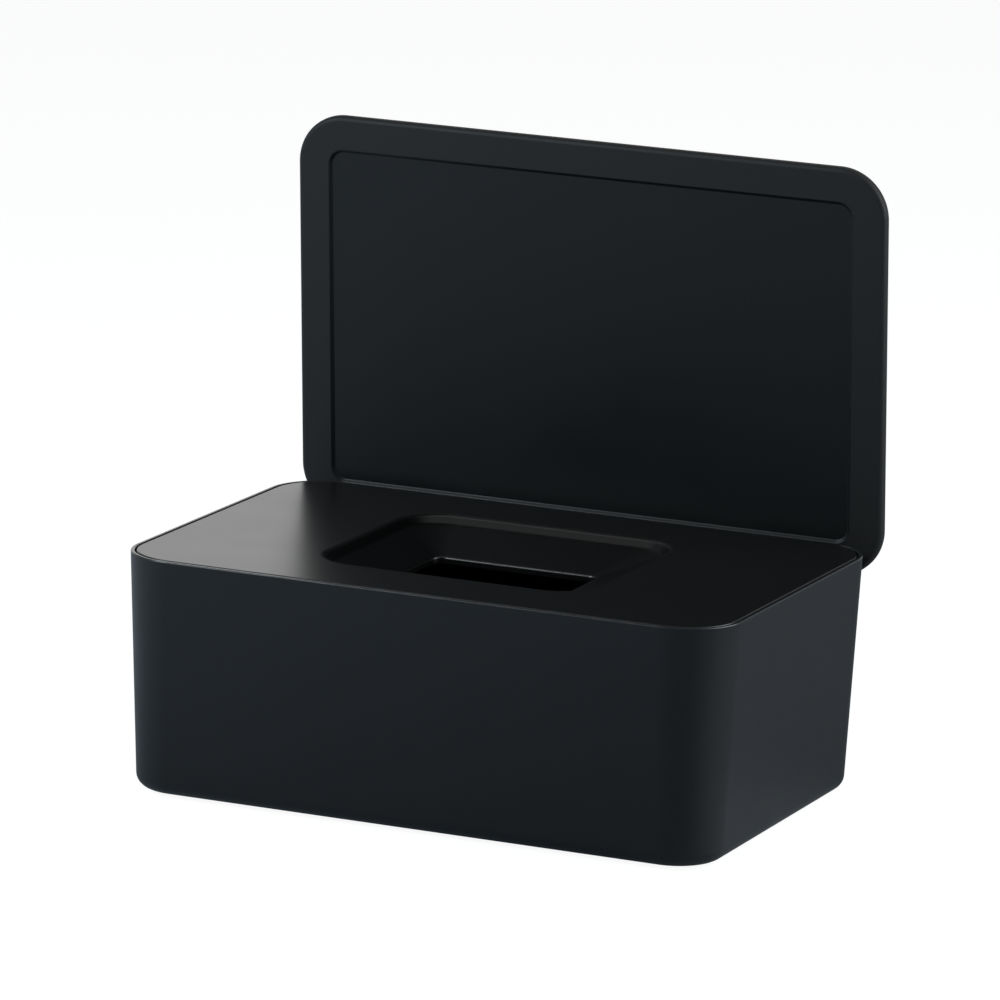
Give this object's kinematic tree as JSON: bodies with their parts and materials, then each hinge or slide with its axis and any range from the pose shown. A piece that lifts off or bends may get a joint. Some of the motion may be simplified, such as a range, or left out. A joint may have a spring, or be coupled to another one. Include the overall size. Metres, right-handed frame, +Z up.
{
  "type": "countertop wipes dispenser",
  "caption": "Low tapered box for wet wipes with a bowl-shaped dispensing cover set in its rim and a flat lid hinged at the back, standing open.",
  "frame": {"origin": "middle of the whole box's outside with the lid open, on the surface that the feet stand on", "axes": "+X to the right along the box's width, +Y to the back, where the lid hinges, +Z up"},
  "size_m": [0.19, 0.1324, 0.1842],
  "materials": {
    "tub_plastic": "fine matte moulded black",
    "cover_plastic": "semi-gloss moulded black",
    "lid_plastic": "satin moulded black",
    "pin_steel": "ground steel",
    "foot_rubber": "soft matte silicone"
  },
  "bodies": {
    "tub": {"tub": "tub_plastic", "foot_front_left": "foot_rubber", "foot_front_right": "foot_rubber", "foot_back_left": "foot_rubber", "foot_back_right": "foot_rubber"},
    "cover": {"dispensing_cover": "cover_plastic", "hinge_pin_left": "pin_steel", "hinge_pin_right": "pin_steel"},
    "lid": {"lid": "lid_plastic"}
  },
  "joints": [
    {"name": "cover_lift", "type": "slide", "parent": "tub", "child": "cover", "axis": [0, 0, 1], "range_m": [0, 0.025]},
    {"name": "lid_hinge", "type": "hinge", "parent": "cover", "child": "lid", "pos_m": [0, 0.05423, 0.06436], "axis": [1, 0, 0], "range_deg": [0, 85.6]}
  ]
}
